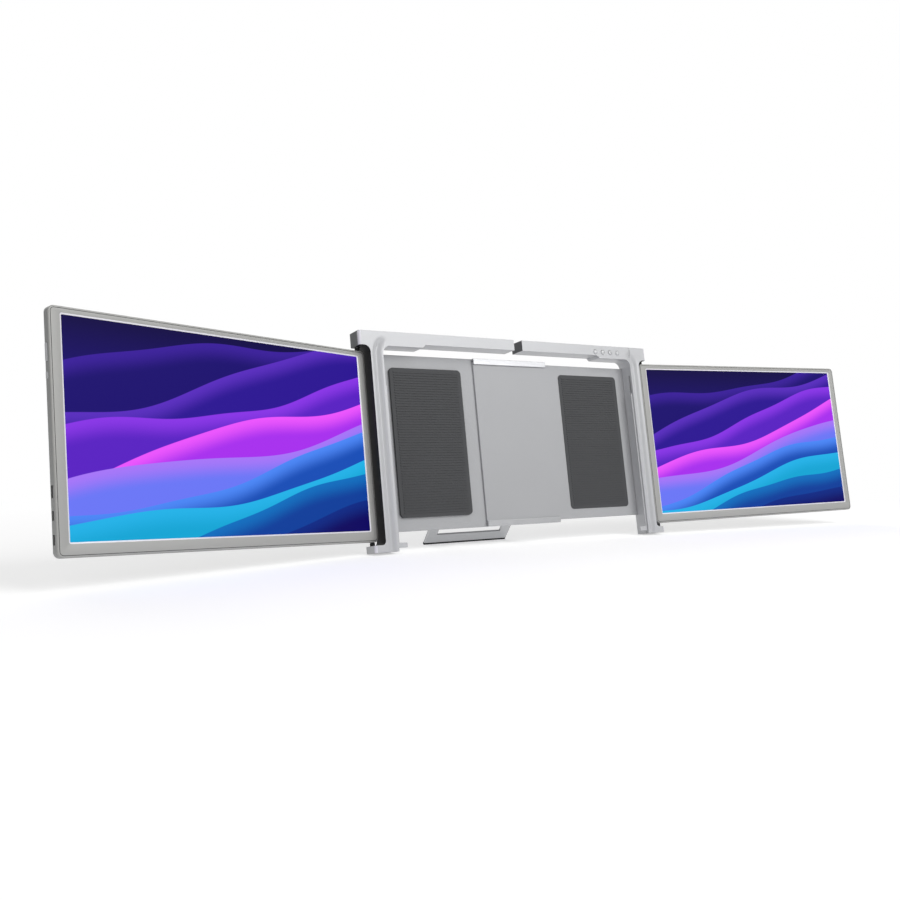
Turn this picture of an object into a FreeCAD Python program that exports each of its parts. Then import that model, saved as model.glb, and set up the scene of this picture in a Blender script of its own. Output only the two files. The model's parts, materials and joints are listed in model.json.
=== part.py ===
import FreeCAD, Part
import math
import os

import Sketcher

# Screen extender: a centre frame in two telescoping halves that grips a lid,
# with a hinged 15.6 inch monitor on each side and a fold-out stand behind.
# Working frame while modelling: x to the right, y back, z up in the frame's own plane,
# origin at the centre of the frame's front face. Every piece is then reclined and
# lifted together, so that the finished part stands on z = 0.

doc = FreeCAD.newDocument("screen_extender")
sheet = doc.addObject("Spreadsheet::Sheet", "dims")

DRIVING = [
    # centre frame
    ("hinge_reach", 24, "hinge axes out from the lid opening"),
    ("head_room", 4.7, "top of a monitor below the bar"),
    ("foot_room", 4.2, "bottom of a monitor above the foot"),
    ("frame_depth", 21, "front face to back face"),
    ("bar_height", 16.5, "top bar at its ends"),
    ("bar_waist", 13, "top bar where it clears the camera"),
    ("waist_half", 131, "centre line to the step in the bar"),
    ("waist_slope", 3.2, "chamfer of the step in the bar"),
    ("lid_width", 375, "clear width between the uprights"),
    ("centre_gap", 12.3, "gap between the two halves of the bar"),
    ("gap_offset", 3.5, "middle of that gap, right of the centre line"),
    ("foot_height", 8, "sole to the top of the foot"),
    ("corner_round", 9, "inner corners of the lid opening"),
    ("end_round", 3, "outer vertical edges of the frame"),
    ("cap_depth", 1.2, "thickness of the dark end caps"),
    ("lip_depth", 4, "silver lip in front of each end cap"),
    # rear plates
    ("plate_wall", 2, "sheet thickness of the rear plates"),
    ("plate_gap", 5.5, "slide rails below the bar"),
    ("plate_lap", 55, "each plate past the centre line"),
    ("slide_clear", 0.3, "running gap of the sliding plates"),
    ("rail_height", 7, "guide rails of the sliding plates"),
    ("pad_wall", 1, "soft lining of the rear plates"),
    # hinges
    ("hinge_inset", 5.5, "hinge axis in from the frame's end"),
    ("hinge_back_left", 16.4, "left hinge axis behind the front face"),
    ("hinge_back_right", 6.4, "right hinge axis behind the front face"),
    ("hinge_pin", 4, "hinge pin diameter"),
    ("hinge_clear", 0.05, "radial running clearance of the pins"),
    ("slot_clear", 0.8, "gap round the swinging edge of a monitor"),
    ("pin_grip", 8, "length of pin held in the frame"),
    ("pin_reach", 14, "length of pin inside a monitor"),
    ("bush_size", 5.6, "outer diameter of the spacer bushes"),
    ("bush_gap", 0.6, "upper bush below the bar, clear of the slot's rounded corner"),
    # monitors
    ("view_width", 344.2, "lit area of a 15.6 inch 16:9 panel"),
    ("view_height", 193.6, "lit area of a 15.6 inch 16:9 panel"),
    ("side_border", 11.5, "frame beside the lit area"),
    ("top_border", 7.3, "frame above the lit area"),
    ("chin_border", 12.7, "frame below the lit area"),
    ("monitor_depth", 9.5, "monitor, front to back"),
    ("front_to_axis", 5, "hinge axis behind the monitor's front"),
    ("view_to_axis", 6.15, "hinge axis to the lit area's near edge"),
    ("monitor_round", 5.5, "outer corners of a monitor"),
    ("cover_wall", 1.4, "wall of the back cover"),
    ("bezel_wall", 1.5, "thickness of the front border plate"),
    ("glass_set", 0.4, "panel behind the face of its border"),
    ("guide_wall", 1.6, "light guide and reflector"),
    ("board_wall", 1.2, "circuit boards"),
    ("part_clear", 0.3, "gap between seated pieces"),
    # clips
    ("clip_width", 12, "tab over the lid's lower corner"),
    ("clip_height", 5.6, "tab, top to bottom"),
    ("clip_front", 2.2, "tab's thickness"),
    ("tab_rise", 9.5, "top of the tab above the sole"),
    ("clip_gap", 45, "top of the clip's runner below the bar"),
    ("runner_width", 1.9, "the clip's thin runner"),
    ("clip_travel", 6, "clip pulled down to let the lid in"),
    ("tongue", 3, "clip's tongue inside the upright"),
    ("spring_length", 24, "clip spring at rest"),
    ("spring_size", 2.4, "diameter of the clip springs"),
    # buttons
    ("button_size", 6.2, "button diameter"),
    ("button_first", 128.5, "first button from the centre line"),
    ("button_pitch", 12.7, "button spacing"),
    ("button_drop", 8.6, "button centres below the top of the bar"),
    ("button_proud", 0.9, "button in front of the bar"),
    ("button_clear", 0.2, "gap round a button"),
    ("button_stem", 8, "button behind the front of the bar"),
    ("button_travel", 0.6, "room for a button to be pressed"),
    ("flange_gap", 0.7, "flange that keeps a button in, behind the front wall"),
    ("flange_wall", 1, "thickness of that flange"),
    ("rocker_height", 16, "side rocker"),
    ("rocker_width", 3.2, "side rocker, front to back"),
    ("rocker_drop", 40.3, "middle of the rocker below the monitor's top"),
    ("key_drop", 60.3, "middle of the power key below the monitor's top"),
    ("key_height", 6, "side power key"),
    ("port_width", 3.6, "port openings, front to back"),
    # stand
    ("stand_angle", 35, "leg from upright"),
    ("stand_width", 120, "leg, side to side"),
    ("stand_wall", 3, "leg thickness"),
    ("stand_hinge_drop", 70, "leg hinge below the frame's centre"),
    ("stand_hinge_back", 4, "leg hinge behind the rear plate"),
    ("stand_pin", 3, "leg hinge pin diameter"),
    ("stand_foot", 2.5, "soft foot on the leg"),
    # pose
    ("recline", 9, "frame leaning back, degrees"),
    ("swing_left", 15.9, "left monitor towards the user, degrees"),
    ("swing_right", 5.5, "right monitor towards the user, degrees"),
    ("screw_size", 3, "screw head diameter"),
    ("screw_head", 0.8, "screw head height"),
]
for row, (alias, value, note) in enumerate(DRIVING, start=1):
    sheet.set("A%d" % row, note)
    sheet.set("B%d" % row, str(value))
    sheet.setAlias("B%d" % row, alias)
doc.recompute()


class Size:
    """A length that knows its value and the sheet formula that it comes from."""

    def __init__(self, value, text=None):
        self.value = float(value)
        self.text = text if text is not None else repr(float(value))

    def _join(self, other, sign, value):
        return Size(value, "(%s %s %s)" % (self.text, sign, other.text))

    def __add__(self, other):
        other = size(other)
        return self._join(other, "+", self.value + other.value)

    def __radd__(self, other):
        return size(other) + self

    def __sub__(self, other):
        other = size(other)
        return self._join(other, "-", self.value - other.value)

    def __rsub__(self, other):
        return size(other) - self

    def __mul__(self, other):
        other = size(other)
        return self._join(other, "*", self.value * other.value)

    def __rmul__(self, other):
        return size(other) * self

    def __truediv__(self, other):
        other = size(other)
        return self._join(other, "/", self.value / other.value)

    def __neg__(self):
        return size(0) - self


def size(thing):
    return thing if isinstance(thing, Size) else Size(thing)


class Dims:
    """The sheet's cells as Size values: d.frame_width and so on."""

    def __init__(self, cells):
        for alias, _, _ in cells:
            setattr(self, alias, Size(sheet.get(alias), "dims." + alias))


d = Dims(DRIVING)


def bind(obj, prop, amount, unit="mm"):
    """Set a property and tie it to the sheet."""
    amount = size(amount)
    if "." not in prop:
        setattr(obj, prop, amount.value)
    obj.setExpression(prop, "(%s) * 1 %s" % (amount.text, unit))


def tie_base(obj, x, y, z):
    bind(obj, "Placement.Base.x", x)
    bind(obj, "Placement.Base.y", y)
    bind(obj, "Placement.Base.z", z)


def mirror_span(side, near, far):
    """Low and high x of a stretch given outwards from the centre line."""
    near, far = size(near), size(far)
    return (near, far) if side > 0 else (-far, -near)


class Piece:
    """One solid piece, built up from boxes, cylinders and rounded plates."""

    def __init__(self, label):
        self.body = doc.addObject("PartDesign::Body", label)
        self.body.Label = label
        self.count = 0

    def _feature(self, kind):
        self.count += 1
        name = "%s_%s_%d" % (self.body.Label, kind.split("::")[1], self.count)
        return self.body.newObject(kind, name)

    def box(self, xs, ys, zs, cut=False):
        item = self._feature("PartDesign::SubtractiveBox" if cut else "PartDesign::AdditiveBox")
        bind(item, "Length", size(xs[1]) - xs[0])
        bind(item, "Width", size(ys[1]) - ys[0])
        bind(item, "Height", size(zs[1]) - zs[0])
        tie_base(item, xs[0], ys[0], zs[0])
        return self

    def cylinder(self, radius, start, length, axis, cut=False):
        """A cylinder from start along axis "x", "y" or "z"."""
        kind = "PartDesign::SubtractiveCylinder" if cut else "PartDesign::AdditiveCylinder"
        item = self._feature(kind)
        bind(item, "Radius", radius)
        bind(item, "Height", length)
        turn = {
            "x": FreeCAD.Rotation(FreeCAD.Vector(0, 1, 0), 90),
            "y": FreeCAD.Rotation(FreeCAD.Vector(1, 0, 0), -90),
            "z": FreeCAD.Rotation(),
        }[axis]
        item.Placement = FreeCAD.Placement(FreeCAD.Vector(0, 0, 0), turn)
        tie_base(item, *start)
        return self

    def plate(self, xs, ys, zs, radius, cut=False):
        """A rounded rectangle in the XZ plane, from y = ys[0] to ys[1]."""
        self.count += 1
        label = "%s_outline_%d" % (self.body.Label, self.count)
        sketch = self.body.newObject("Sketcher::SketchObject", label)
        plane = [p for p in self.body.Origin.OriginFeatures if p.Role == "XZ_Plane"][0]
        sketch.AttachmentSupport = [(plane, "")]
        sketch.MapMode = "FlatFace"
        bind(sketch, "AttachmentOffset.Base.z", -size(ys[1]))
        draw_rounded_rectangle(sketch, xs, zs, radius)
        item = self._feature("PartDesign::Pocket" if cut else "PartDesign::Pad")
        item.Profile = sketch
        bind(item, "Length", size(ys[1]) - ys[0])
        item.Reversed = cut
        return self

    def dress(self, kind, prop, amount, wanted):
        """Round or chamfer the edges that wanted(edge) picks."""
        doc.recompute()
        base = self.body.Tip
        names = ["Edge%d" % (i + 1) for i, e in enumerate(base.Shape.Edges) if wanted(e)]
        if not names:
            raise RuntimeError("no edge to dress on " + self.body.Label)
        item = self._feature(kind)
        item.Base = (base, names)
        bind(item, prop, amount)
        return self

    def fillet(self, radius, wanted):
        return self.dress("PartDesign::Fillet", "Radius", radius, wanted)

    def chamfer(self, amount, wanted):
        return self.dress("PartDesign::Chamfer", "Size", amount, wanted)

    def place(self, placement):
        self.body.Placement = placement
        PIECES.append(self.body)
        return self


def draw_rounded_rectangle(sketch, xs, zs, radius):
    """Four lines and four arcs, tangent at the joins, with bound sizes."""
    left, right, low, high = [size(v) for v in (xs[0], xs[1], zs[0], zs[1])]
    x0, x1, z0, z1, r = left.value, right.value, low.value, high.value, size(radius).value
    up = FreeCAD.Vector(0, 0, 1)

    def line(ax, ay, bx, by):
        sketch.addGeometry(Part.LineSegment(FreeCAD.Vector(ax, ay, 0), FreeCAD.Vector(bx, by, 0)), False)

    def arc(cx, cy, start):
        circle = Part.Circle(FreeCAD.Vector(cx, cy, 0), up, r)
        sketch.addGeometry(Part.ArcOfCircle(circle, start, start + math.pi / 2), False)

    line(x0 + r, z0, x1 - r, z0)
    line(x1, z0 + r, x1, z1 - r)
    line(x1 - r, z1, x0 + r, z1)
    line(x0, z1 - r, x0, z0 + r)
    arc(x1 - r, z0 + r, -math.pi / 2)
    arc(x1 - r, z1 - r, 0)
    arc(x0 + r, z1 - r, math.pi / 2)
    arc(x0 + r, z0 + r, math.pi)
    tie = Sketcher.Constraint
    for edge, corner in ((0, 4), (1, 5), (2, 6), (3, 7)):
        following = (edge + 1) % 4
        sketch.addConstraint(tie("Tangent", edge, 2, corner, 1))
        sketch.addConstraint(tie("Tangent", corner, 2, following, 1))
    sketch.addConstraint(tie("Horizontal", 0))
    sketch.addConstraint(tie("Vertical", 1))
    sketch.addConstraint(tie("Horizontal", 2))
    sketch.addConstraint(tie("Vertical", 3))
    for corner in (5, 6, 7):
        sketch.addConstraint(tie("Equal", 4, corner))
    named = [
        ("round", tie("Radius", 4, r), size(radius)),
        ("low", tie("DistanceY", -1, 1, 0, 1, z0), low),
        ("right", tie("DistanceX", -1, 1, 1, 1, x1), right),
        ("high", tie("DistanceY", -1, 1, 2, 1, z1), high),
        ("left", tie("DistanceX", -1, 1, 3, 1, x0), left),
    ]
    for name, constraint, amount in named:
        index = sketch.addConstraint(constraint)
        sketch.renameConstraint(index, name)
        sketch.setExpression("Constraints." + name, "(%s) * 1 mm" % amount.text)


PIECES = []

# Places worked out from the driving sizes
half_lid = d.lid_width / 2
hinge_x = half_lid + d.hinge_reach
half_width = hinge_x + d.hinge_inset
monitor_height = d.view_height + d.top_border + d.chin_border
half_height = (monitor_height + d.head_room + d.foot_room + d.bar_height + d.foot_height) / 2
bar_low = half_height - d.bar_height
waist_low = half_height - d.bar_waist
foot_top = d.foot_height - half_height
monitor_back = d.monitor_depth - d.front_to_axis
edge_past_axis = d.side_border - d.view_to_axis
sweep = math.hypot(edge_past_axis.value, max(d.front_to_axis.value, monitor_back.value))
slot_wall = hinge_x - sweep - d.slot_clear
back_face = d.frame_depth
left_plate_front = back_face - d.plate_wall
right_plate_front = left_plate_front - d.slide_clear - d.plate_wall
plate_half = bar_low - d.plate_gap - d.rail_height / 2
left_bar_end = d.gap_offset - d.centre_gap / 2
right_bar_end = d.gap_offset + d.centre_gap / 2

# The whole part leans back and is lifted until the feet's back soles touch z = 0
lean = math.radians(d.recline.value)
lift = half_height.value * math.cos(lean) + back_face.value * math.sin(lean)
STANDING = FreeCAD.Placement(
    FreeCAD.Vector(0, 0, lift),
    FreeCAD.Rotation(FreeCAD.Vector(1, 0, 0), -d.recline.value),
)


def hinge_place(side):
    """Placement of a monitor: its own frame has the hinge axis at its origin."""
    back = d.hinge_back_left if side < 0 else d.hinge_back_right
    swing = d.swing_left if side < 0 else d.swing_right
    turn = FreeCAD.Rotation(FreeCAD.Vector(0, 0, 1), -side * swing.value)
    at = FreeCAD.Vector(side * hinge_x.value, back.value, 0)
    return STANDING.multiply(FreeCAD.Placement(at, turn))


def straight_edge(edge, axis, wanted):
    """True for a straight edge along axis whose other two places pass wanted(a, b)."""
    ends = edge.Vertexes
    if len(ends) != 2 or edge.Curve.TypeId != "Part::GeomLine":
        return False
    first, last = ends[0].Point, ends[1].Point
    others = [i for i in range(3) if i != axis]
    same = all(abs(first[i] - last[i]) < 0.001 for i in others)
    return same and wanted(first[others[0]], first[others[1]])


def near(a, b):
    return abs(a - size(b).value) < 0.01


# Places inside the frame halves
groove_front = size(2.7)
tongue_front = groove_front + d.part_clear
tongue_back = tongue_front + 2
groove_back = tongue_back + d.part_clear
tab_top = d.tab_rise - half_height
clip_low = tab_top - d.clip_height
clip_top = bar_low - d.clip_gap
groove_top = clip_top + d.spring_length
button_z = half_height - d.button_drop
button_radius = d.button_size / 2
button_pocket_front = size(4)
flange_half = button_radius + 0.7
flange_tall = button_radius - 0.1
dome_radius = size(2)
board_front = back_face - 2 - d.board_wall
pocket_floor = size(1)
board_half = button_z - waist_low - pocket_floor - d.part_clear
board_left = d.button_first - 8
board_right = d.button_first + 3 * d.button_pitch + 8


def frame_half(side, name):
    """Bar, upright and foot of one half, with the open slot for the monitor's edge."""
    piece = Piece(name + "_frame")
    inner = right_bar_end if side > 0 else -left_bar_end
    outer = half_width - d.cap_depth
    back = d.hinge_back_right if side > 0 else d.hinge_back_left
    depth = (0, back_face)
    piece.box(mirror_span(side, inner, outer), depth, (bar_low, half_height))
    piece.box(mirror_span(side, half_lid, slot_wall), depth, (-half_height, half_height))
    piece.box(mirror_span(side, half_lid, outer), depth, (-half_height, foot_top))
    lip = mirror_span(side, outer - 1, half_width)
    piece.box(lip, (0, d.lip_depth), (bar_low, half_height))
    piece.box(lip, (0, d.lip_depth), (-half_height, foot_top))
    piece.fillet(
        d.end_round,
        lambda e: straight_edge(e, 2, lambda x, y: near(x, side * half_width) and near(y, 0)),
    )
    waist = mirror_span(side, inner - 1, d.waist_half)
    piece.box(waist, (-1, back_face + 1), (bar_low - 1, waist_low), cut=True)
    piece.fillet(
        d.corner_round,
        lambda e: straight_edge(e, 1, lambda x, z: near(z, bar_low) and near(x, side * half_lid)),
    )
    piece.fillet(
        d.corner_round - 1,
        lambda e: straight_edge(e, 1, lambda x, z: near(z, bar_low) and near(x, side * slot_wall)),
    )
    piece.fillet(
        d.corner_round / 2,
        lambda e: straight_edge(e, 1, lambda x, z: near(z, foot_top) and near(x, side * slot_wall)),
    )
    piece.chamfer(
        d.waist_slope,
        lambda e: straight_edge(e, 1, lambda x, z: near(z, bar_low) and near(x, side * d.waist_half)),
    )
    pin = d.hinge_pin / 2
    piece.cylinder(pin, (side * hinge_x, back, bar_low - 1), d.pin_grip + 1, "z", cut=True)
    foot_hole = d.foot_height - 1.5
    piece.cylinder(pin, (side * hinge_x, back, foot_top - foot_hole), foot_hole + 1, "z", cut=True)
    groove = mirror_span(side, half_lid - 1, half_lid + d.tongue + d.part_clear)
    low = clip_low - d.clip_travel - 1
    piece.box(groove, (groove_front, groove_back), (low, groove_top), cut=True)
    if side > 0:
        for number in range(4):
            x = d.button_first + number * d.button_pitch
            bore = button_radius + d.button_clear
            piece.cylinder(bore, (x, -1, button_z), button_pocket_front + 2, "y", cut=True)
        room = d.part_clear
        piece.box(
            (board_left - room, board_right + room),
            (button_pocket_front, board_front + d.board_wall),
            (button_z - board_half - room, button_z + board_half + room),
            cut=True,
        )
    return piece.place(STANDING)


def end_caps(side, name):
    """Dark cap on the end of the bar and one on the foot, each behind the frame's silver lip."""
    outer = mirror_span(side, half_width - d.cap_depth, half_width)
    cap = Piece(name + "_end_cap")
    cap.box(outer, (d.lip_depth, back_face), (bar_low, half_height))
    foot = Piece(name + "_foot_cap")
    foot.box(outer, (d.lip_depth, back_face), (-half_height, foot_top))
    cap.place(STANDING)
    foot.place(STANDING)


def rear_plates():
    """Two sheets behind the lid: the right one slides in rails on the left one."""
    rail_gap = d.slide_clear
    left_half_tall = plate_half + d.rail_height / 2
    left = Piece("left_rear_plate")
    left.box((-half_lid, d.plate_lap), (left_plate_front, back_face), (-left_half_tall, left_half_tall))
    left.place(STANDING)
    right_back = left_plate_front - d.slide_clear
    right = Piece("right_rear_plate")
    right.box((-d.plate_lap, half_lid), (right_plate_front, right_back), (-plate_half, plate_half))
    right.place(STANDING)
    lip = size(1.5)
    for side, name in ((1, "upper"), (-1, "lower")):
        rail = Piece(name + "_slide_rail")
        wall = mirror_span(side, plate_half + rail_gap, left_half_tall)
        cover = mirror_span(side, plate_half - d.rail_height / 2, left_half_tall)
        front = right_plate_front - rail_gap
        rail.box((-d.plate_lap, d.plate_lap), (front - lip, left_plate_front), wall)
        rail.box((-d.plate_lap, d.plate_lap), (front - lip, front), cover)
        rail.place(STANDING)
    pad_front = right_plate_front - d.pad_wall
    reach = plate_half - 12
    left_pad = Piece("left_lid_pad")
    left_pad.box((15 - half_lid, -d.plate_lap - 20), (pad_front, left_plate_front), (-reach, reach))
    left_pad.place(STANDING)
    right_pad = Piece("right_lid_pad")
    right_pad.box((d.plate_lap + 20, half_lid - 15), (pad_front, right_plate_front), (-reach, reach))
    right_pad.place(STANDING)


def primitive(kind, name, **sizes):
    item = doc.addObject(kind, name)
    for prop, amount in sizes.items():
        bind(item, prop, amount)
    return item


def loose_cylinder(name, radius, start, length, turn=None):
    item = primitive("Part::Cylinder", name, Radius=radius, Height=length)
    if turn is not None:
        item.Placement = FreeCAD.Placement(FreeCAD.Vector(0, 0, 0), turn)
    tie_base(item, *start)
    return item


def loose_box(name, xs, ys, zs):
    item = primitive(
        "Part::Box",
        name,
        Length=size(xs[1]) - xs[0],
        Width=size(ys[1]) - ys[0],
        Height=size(zs[1]) - zs[0],
    )
    tie_base(item, xs[0], ys[0], zs[0])
    return item


def group(label, members, placement):
    """Several like solids that share one node."""
    item = doc.addObject("Part::Compound", label)
    item.Label = label
    item.Links = members
    item.Placement = placement
    PIECES.append(item)
    return item


def ring(name, outer, inner, start, length):
    """A tube round a pin, from start upwards."""
    cut = doc.addObject("Part::Cut", name)
    cut.Base = loose_cylinder(name + "_outside", outer, start, length)
    cut.Tool = loose_cylinder(name + "_bore", inner, start, length)
    return cut


ALONG_X = FreeCAD.Rotation(FreeCAD.Vector(0, 1, 0), 90)
ALONG_Y = FreeCAD.Rotation(FreeCAD.Vector(1, 0, 0), -90)

# Places inside a monitor, in its own frame with the hinge axis at x = 0 and y = 0
view_middle = bar_low - d.head_room - d.top_border - d.view_height / 2
monitor_top = view_middle + d.view_height / 2 + d.top_border
monitor_low = view_middle - d.view_height / 2 - d.chin_border
monitor_width = d.view_width + 2 * d.side_border
monitor_front = -d.front_to_axis
border_back = monitor_front + d.bezel_wall
inner_edge = -edge_past_axis
outer_edge = inner_edge + monitor_width
view_near = d.view_to_axis
view_far = view_near + d.view_width
view_low = view_middle - d.view_height / 2
view_high = view_middle + d.view_height / 2
corner_room = size(2.2)
bracket_top = monitor_top - d.cover_wall - corner_room
bracket_low = monitor_low + d.cover_wall + corner_room
guide_back = border_back + d.guide_wall
cover_inside = monitor_back - d.cover_wall
board_far = outer_edge - d.cover_wall - 12
board_rise = size(6.3)
board_height = size(55)
# Heights above the monitor's lower edge, and lengths, of the three ports
PORTS = [(55.3, 10.6), (35.3, 8), (15.3, 8.5)]
port_places = [(monitor_low + rise, length) for rise, length in PORTS]
rocker_z = monitor_top - d.rocker_drop
key_z = monitor_top - d.key_drop
side_part_middle = (border_back + monitor_back) / 2


def hinge_parts(side, name):
    """Pins pressed into the frame and the spacer bushes round them."""
    back = d.hinge_back_right if side > 0 else d.hinge_back_left
    x = side * hinge_x
    pin = d.hinge_pin / 2
    low_end = bracket_low + d.pin_reach
    foot_hole = d.foot_height - 1.5
    pins = [
        loose_cylinder(
            name + "_pin_a",
            pin,
            (x, back, bracket_top - d.pin_reach),
            bar_low + d.pin_grip - bracket_top + d.pin_reach,
        ),
        loose_cylinder(
            name + "_pin_b", pin, (x, back, foot_top - foot_hole), low_end - foot_top + foot_hole
        ),
    ]
    group(name + "_hinge_pins", pins, STANDING)
    outer, inner = d.bush_size / 2, pin + d.hinge_clear
    rise = monitor_top + d.part_clear
    fall = monitor_low - d.part_clear
    bushes = [
        ring(name + "_bush_a", outer, inner, (x, back, rise), bar_low - d.bush_gap - rise),
        ring(name + "_bush_b", outer, inner, (x, back, foot_top), fall - foot_top),
    ]
    group(name + "_hinge_bushes", bushes, STANDING)


def monitor(side, name):
    """Back cover, border, panel, light guide, board, hinge brackets, ports and screws."""
    place = hinge_place(side)
    whole = mirror_span(side, inner_edge, outer_edge)
    cover = Piece(name + "_back_cover")
    tall = (monitor_low, monitor_top)
    cover.plate(whole, (border_back, monitor_back), tall, d.monitor_round)
    hollow = mirror_span(side, inner_edge + d.cover_wall, outer_edge - d.cover_wall)
    cover.plate(
        hollow,
        (border_back, cover_inside),
        (monitor_low + d.cover_wall, monitor_top - d.cover_wall),
        d.monitor_round - d.cover_wall,
        cut=True,
    )
    hole = d.hinge_pin / 2 + d.part_clear
    cover.cylinder(hole, (0, 0, monitor_top - 3), 4, "z", cut=True)
    cover.cylinder(hole, (0, 0, monitor_low - 1), 4, "z", cut=True)
    wall = mirror_span(side, outer_edge - d.cover_wall - 1, outer_edge + 1)
    middle = side_part_middle
    for z, length in port_places:
        cover.box(
            wall,
            (middle - d.port_width / 2, middle + d.port_width / 2),
            (size(z) - length / 2, size(z) + length / 2),
            cut=True,
        )
    spare = d.button_clear
    for z, height in ((rocker_z, d.rocker_height), (key_z, d.key_height)):
        half = d.rocker_width / 2 + spare
        gap = (z - height / 2 - spare, z + height / 2 + spare)
        cover.box(wall, (middle - half, middle + half), gap, cut=True)
    cover.place(place)

    border = Piece(name + "_bezel")
    border.plate(whole, (monitor_front, border_back), tall, d.monitor_round)
    view = mirror_span(side, view_near, view_far)
    border.plate(view, (monitor_front, border_back), (view_low, view_high), 1.5, cut=True)
    border.place(place)

    screen = Piece(name + "_screen")
    slack = size(0.1)
    lit = mirror_span(side, view_near + slack, view_far - slack)
    deep = (monitor_front + d.glass_set, border_back)
    screen.plate(lit, deep, (view_low + slack, view_high - slack), 1.5)
    screen.place(place)

    guide = Piece(name + "_light_guide")
    margin = size(2)
    wide = mirror_span(side, view_near - guide_lap, view_far + margin)
    guide.box(wide, (border_back, guide_back), (view_low - margin, view_high + margin))
    guide.place(place)

    board = Piece(name + "_driver_board")
    across = mirror_span(side, board_far - 90, board_far)
    board_low = monitor_low + board_rise
    board.box(across, (cover_inside - d.board_wall, cover_inside), (board_low, board_low + board_height))
    board.place(place)

    ends = []
    bore = d.hinge_pin / 2 + d.hinge_clear
    for tag, low in (("a", bracket_top - d.pin_reach), ("b", bracket_low)):
        cut = doc.addObject("Part::Cut", name + "_bracket_" + tag)
        span = mirror_span(side, -bracket_edge, view_near - guide_lap - d.part_clear)
        cut.Base = loose_box(
            name + "_bracket_block_" + tag,
            span,
            (border_back, cover_inside),
            (low, low + d.pin_reach),
        )
        cut.Tool = loose_cylinder(name + "_bracket_bore_" + tag, bore, (0, 0, low - 1), d.pin_reach + 2)
        ends.append(cut)
    group(name + "_hinge_brackets", ends, place)

    shells = []
    for number, (z, length) in enumerate(port_places):
        room = d.part_clear
        inner = mirror_span(side, outer_edge - 9, outer_edge - d.cover_wall)
        shell = doc.addObject("Part::Cut", "%s_port_%d" % (name, number))
        half, mouth = d.port_width / 2 + 0.6, d.port_width / 2
        shell.Base = loose_box(
            "%s_port_block_%d" % (name, number),
            inner,
            (middle - half, cover_inside - d.board_wall - room),
            (size(z) - length / 2 - 0.6, size(z) + length / 2 + 0.6),
        )
        shell.Tool = loose_box(
            "%s_port_mouth_%d" % (name, number),
            mirror_span(side, outer_edge - 8, outer_edge),
            (middle - mouth, middle + mouth - 0.9),
            (size(z) - length / 2, size(z) + length / 2),
        )
        shells.append(shell)
    group(name + "_port_shells", shells, place)

    heads = []
    for number, (x, z) in enumerate(screw_places()):
        start = (side * x, monitor_back, z)
        label = "%s_screw_%d" % (name, number)
        heads.append(loose_cylinder(label, d.screw_size / 2, start, d.screw_head, ALONG_Y))
    group(name + "_cover_screws", heads, place)

    for tag, z, height in (("rocker", rocker_z, d.rocker_height), ("power_key", key_z, d.key_height)):
        key = Piece(name + "_" + tag)
        out = mirror_span(side, outer_edge - d.cover_wall - 1.5, outer_edge + 0.8)
        thick = (middle - d.rocker_width / 2, middle + d.rocker_width / 2)
        key.box(out, thick, (z - height / 2, z + height / 2))
        key.place(place)


bracket_edge = edge_past_axis - d.cover_wall - 0.95
guide_lap = size(1)


def screw_places():
    """Four screws near the corners of a monitor's back."""
    for x in (inner_edge + 14, outer_edge - 14):
        for z in (monitor_low + 14, monitor_top - 14):
            yield x, z


def clip(side, name):
    """Runner on the upright's inner face, tongue in its groove and tab over the lid."""
    piece = Piece(name + "_clip")
    near_face = half_lid - d.part_clear
    runner = mirror_span(side, near_face - d.runner_width, near_face)
    piece.box(runner, (groove_front - 0.7, groove_back + 0.7), (clip_low, clip_top))
    tongue = mirror_span(side, near_face - 0.1, half_lid + d.tongue)
    piece.box(tongue, (tongue_front, tongue_back), (clip_low, clip_top))
    tab = mirror_span(side, near_face - d.clip_width, near_face)
    front = groove_front - 0.7
    piece.box(tab, (front, front + d.clip_front), (clip_low, tab_top))
    piece.place(STANDING)
    middle = (groove_front + groove_back) / 2
    coil = Piece(name + "_clip_spring")
    x = side * (half_lid + d.tongue - 1.3)
    coil.cylinder(d.spring_size / 2, (x, middle, clip_top), d.spring_length, "z")
    coil.place(STANDING)


def buttons():
    """Four buttons, the board that they press on, and its switch domes."""
    domes = []
    for number in range(4):
        x = d.button_first + number * d.button_pitch
        piece = Piece("button_%d" % (number + 1))
        piece.cylinder(button_radius, (x, -d.button_proud, button_z), d.button_proud + d.button_stem, "y")
        flange = (button_pocket_front + d.flange_gap, button_pocket_front + d.flange_gap + d.flange_wall)
        piece.box((x - flange_half, x + flange_half), flange, (button_z - flange_tall, button_z + flange_tall))
        piece.place(STANDING)
        dome_front = d.button_stem + d.button_travel + d.part_clear
        start = (x, dome_front, button_z)
        domes.append(
            loose_cylinder("dome_%d" % number, dome_radius, start, board_front - dome_front, ALONG_Y)
        )
    group("button_switches", domes, STANDING)
    board = Piece("control_board")
    board.box(
        (board_left, board_right),
        (board_front, board_front + d.board_wall),
        (button_z - board_half, button_z + board_half),
    )
    board.place(STANDING)


ear_half = size(6)
ear_wall = size(3.5)


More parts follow.
